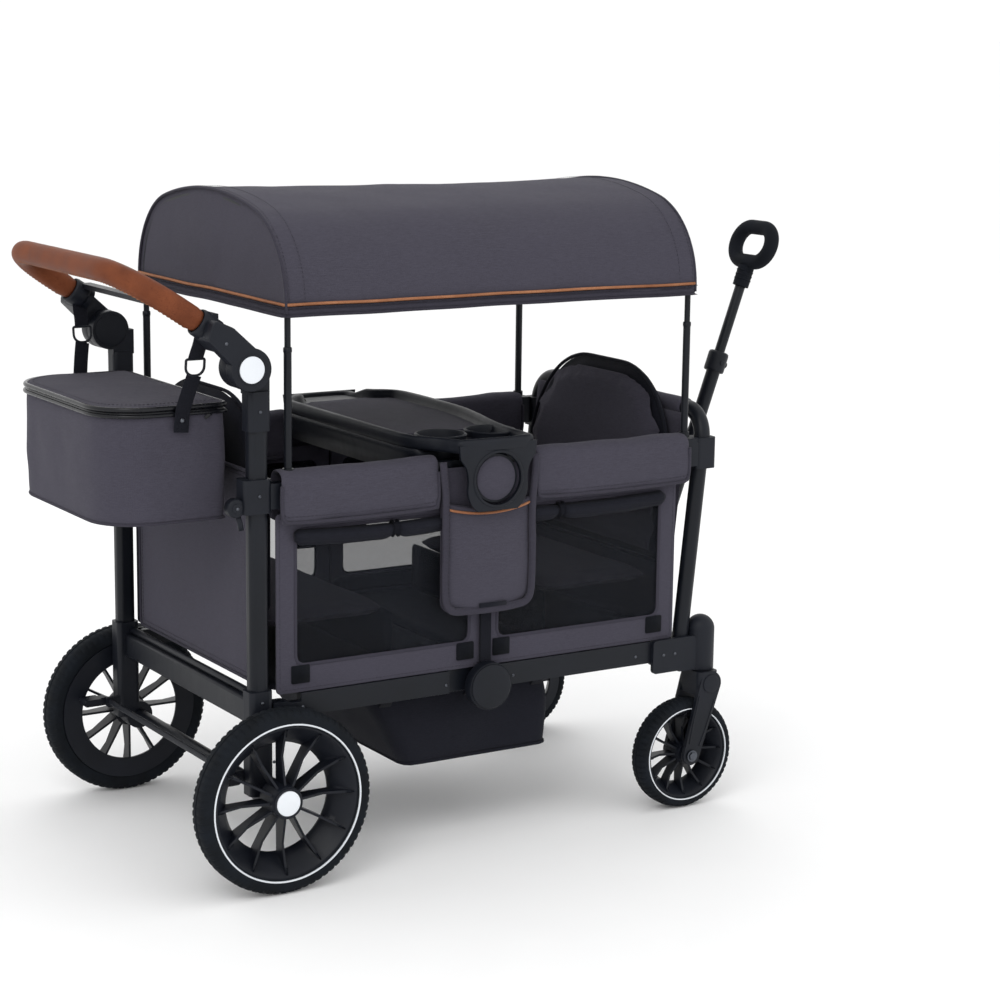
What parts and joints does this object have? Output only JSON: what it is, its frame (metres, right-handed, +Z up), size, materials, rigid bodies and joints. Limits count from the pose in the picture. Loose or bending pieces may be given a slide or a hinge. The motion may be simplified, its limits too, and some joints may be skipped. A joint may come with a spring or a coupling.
{
  "type": "folding stroller wagon",
  "caption": "Folding fabric wagon for children with a canopy, facing seats, tray, hanging bag, push handle and telescopic pull handle.",
  "frame": {"origin": "the ground mount: on the ground, on the middle plane, 57.5 mm ahead of the folding hubs' axis and 450 mm ahead of the rear axle, which is 11.8 mm behind the middle of the overall length", "axes": "+X towards the pull handle, +Y to the left side, +Z up"},
  "size_m": [1.408, 0.67, 1.092],
  "materials": {
    "frame_tube": "satin",
    "black_plastic": "matte",
    "rim_plastic": "satin",
    "tyre_rubber": "matte",
    "grey_cloth": "woven",
    "black_cloth": "woven",
    "tan_leather": "satin",
    "grip_rubber": "matte"
  },
  "bodies": {
    "rear_frame": {"rear_post_right": "frame_tube", "rear_post_left": "frame_tube", "rear_leg_housing_right": "black_plastic", "rear_leg_housing_left": "black_plastic", "rear_cross_bar": "frame_tube", "rear_axle": "frame_tube", "rear_rail_brackets": "black_plastic", "handle_pivot_bases": "black_plastic", "rear_panel": "grey_cloth", "rear_backrest": "grey_cloth", "rear_seat": "grey_cloth", "floor_rear": "grey_cloth", "side_wall_rear_right": "grey_cloth", "side_wall_rear_left": "grey_cloth"},
    "lower_rear_rails": {"lower_rails_rear": "frame_tube"},
    "lower_front_rails": {"lower_rails_front": "frame_tube"},
    "upper_rear_rails": {"upper_rails_rear": "frame_tube", "rail_covers_rear": "grey_cloth"},
    "upper_front_rails": {"upper_rails_front": "frame_tube", "rail_covers_front": "grey_cloth"},
    "hubs": {"lower_hub_discs": "black_plastic", "upper_hub_discs": "grey_cloth", "hub_links": "frame_tube", "under_basket": "black_cloth", "side_pockets": "grey_cloth"},
    "tray": {"tray": "black_plastic"},
    "front_frame": {"front_tube": "frame_tube", "front_cross_bar": "frame_tube", "caster_housing_right": "black_plastic", "caster_housing_left": "black_plastic", "front_rail_brackets": "black_plastic", "front_panel": "grey_cloth", "front_backrest": "grey_cloth", "front_seat": "grey_cloth", "floor_front": "grey_cloth", "side_wall_front_right": "grey_cloth", "side_wall_front_left": "grey_cloth", "front_pockets": "grey_cloth"},
    "caster_right": {"caster_fork_right": "black_plastic"},
    "caster_left": {"caster_fork_left": "black_plastic"},
    "front_wheel_right": {"front_rim_right": "rim_plastic", "front_tyre_right": "tyre_rubber"},
    "front_wheel_left": {"front_rim_left": "rim_plastic", "front_tyre_left": "tyre_rubber"},
    "rear_wheel_right": {"rear_rim_right": "rim_plastic", "rear_tyre_right": "tyre_rubber"},
    "rear_wheel_left": {"rear_rim_left": "rim_plastic", "rear_tyre_left": "tyre_rubber"},
    "pull_handle": {"pull_handle_outer": "black_plastic"},
    "pull_rod": {"pull_handle_inner": "black_plastic", "pull_grip": "grip_rubber"},
    "push_handle": {"handle_arms": "black_plastic", "handle_grip": "tan_leather"},
    "bag": {"bag_body": "grey_cloth", "bag_straps": "black_cloth"},
    "bag_lid": {"bag_lid": "grey_cloth"},
    "canopy_rods": {"canopy_rods_lower": "frame_tube"},
    "canopy": {"canopy_frame": "frame_tube", "canopy_roof": "grey_cloth"},
    "brake": {"brake_pedals": "black_plastic"}
  },
  "joints": [
    {"name": "fold", "type": "hinge", "parent": "rear_frame", "child": "lower_rear_rails", "pos_m": [-0.428, 0, 0.28], "axis": [0, -1, 0], "range_deg": [0, 66], "deforming": ["rear_seat", "floor_rear", "side_wall_rear_right", "side_wall_rear_left", "rail_covers_rear", "rail_covers_front", "under_basket", "front_seat", "floor_front", "side_wall_front_right", "side_wall_front_left"]},
    {"name": "fold_lower_front", "type": "hinge", "parent": "lower_rear_rails", "child": "lower_front_rails", "pos_m": [-0.0575, 0, 0.28], "axis": [0, 1, 0], "range_deg": [0, 132]},
    {"name": "fold_front_frame", "type": "hinge", "parent": "lower_front_rails", "child": "front_frame", "pos_m": [0.313, 0, 0.28], "axis": [0, -1, 0], "range_deg": [0, 66]},
    {"name": "fold_upper_rear", "type": "hinge", "parent": "rear_frame", "child": "upper_rear_rails", "pos_m": [-0.428, 0, 0.632], "axis": [0, -1, 0], "range_deg": [0, 66]},
    {"name": "fold_upper_front", "type": "hinge", "parent": "upper_rear_rails", "child": "upper_front_rails", "pos_m": [-0.0575, 0, 0.632], "axis": [0, 1, 0], "range_deg": [0, 132]},
    {"name": "fold_hubs", "type": "hinge", "parent": "lower_rear_rails", "child": "hubs", "pos_m": [-0.0575, 0, 0.28], "axis": [0, 1, 0], "range_deg": [0, 66]},
    {"name": "tray_lift", "type": "slide", "parent": "hubs", "child": "tray", "axis": [0, 0, -1], "range_m": [-0.12, 0]},
    {"name": "canopy_lift", "type": "slide", "parent": "rear_frame", "child": "canopy_rods", "axis": [0, 0, 1], "range_m": [0, 0.382]},
    {"name": "canopy_height", "type": "slide", "parent": "canopy_rods", "child": "canopy", "axis": [0, 0, 1], "range_m": [-0.04, 0.1]},
    {"name": "caster_swivel_right", "type": "hinge", "parent": "front_frame", "child": "caster_right", "pos_m": [0.393, -0.268, 0.25], "axis": [0, 0, 1], "continuous": true},
    {"name": "caster_swivel_left", "type": "hinge", "parent": "front_frame", "child": "caster_left", "pos_m": [0.393, 0.268, 0.25], "axis": [0, 0, 1], "continuous": true},
    {"name": "front_wheel_spin_right", "type": "hinge", "parent": "caster_right", "child": "front_wheel_right", "pos_m": [0.359, -0.268, 0.098], "axis": [0, 1, 0], "continuous": true},
    {"name": "front_wheel_spin_left", "type": "hinge", "parent": "caster_left", "child": "front_wheel_left", "pos_m": [0.359, 0.268, 0.098], "axis": [0, 1, 0], "continuous": true},
    {"name": "rear_wheel_spin_right", "type": "hinge", "parent": "rear_frame", "child": "rear_wheel_right", "pos_m": [-0.45, -0.312, 0.15], "axis": [0, 1, 0], "continuous": true},
    {"name": "rear_wheel_spin_left", "type": "hinge", "parent": "rear_frame", "child": "rear_wheel_left", "pos_m": [-0.45, 0.312, 0.15], "axis": [0, 1, 0], "continuous": true},
    {"name": "pull_tilt", "type": "hinge", "parent": "front_frame", "child": "pull_handle", "pos_m": [0.44, 0, 0.27], "axis": [0, 1, 0], "range_deg": [-14, 65]},
    {"name": "pull_extend", "type": "slide", "parent": "pull_handle", "child": "pull_rod", "axis": [0.342, 0, 0.9397], "range_m": [-0.11, 0.2]},
    {"name": "handle_tilt", "type": "hinge", "parent": "rear_frame", "child": "push_handle", "pos_m": [-0.491, 0, 0.835], "axis": [0, -1, 0], "range_deg": [-15, 80], "deforming": ["bag_straps"]},
    {"name": "bag_level", "type": "hinge", "parent": "push_handle", "child": "bag", "pos_m": [-0.5565, 0, 0.905], "axis": [0, 1, 0], "range_deg": [-15, 80]},
    {"name": "bag_lid_open", "type": "hinge", "parent": "bag", "child": "bag_lid", "pos_m": [-0.487, 0, 0.7665], "axis": [0, -1, 0], "range_deg": [-55, 0]},
    {"name": "brake_press", "type": "hinge", "parent": "rear_frame", "child": "brake", "pos_m": [-0.503, 0, 0.18], "axis": [0, -1, 0], "range_deg": [0, 16]}
  ],
  "couplings": [
    {"joint": "fold_lower_front", "follows": "fold", "ratio": 2},
    {"joint": "fold_front_frame", "follows": "fold", "ratio": 1},
    {"joint": "fold_upper_rear", "follows": "fold", "ratio": 1},
    {"joint": "fold_upper_front", "follows": "fold", "ratio": 2},
    {"joint": "fold_hubs", "follows": "fold", "ratio": 1},
    {"joint": "canopy_lift", "follows": "fold", "m_per_rad": 0.33},
    {"joint": "bag_level", "follows": "handle_tilt", "ratio": 1}
  ]
}
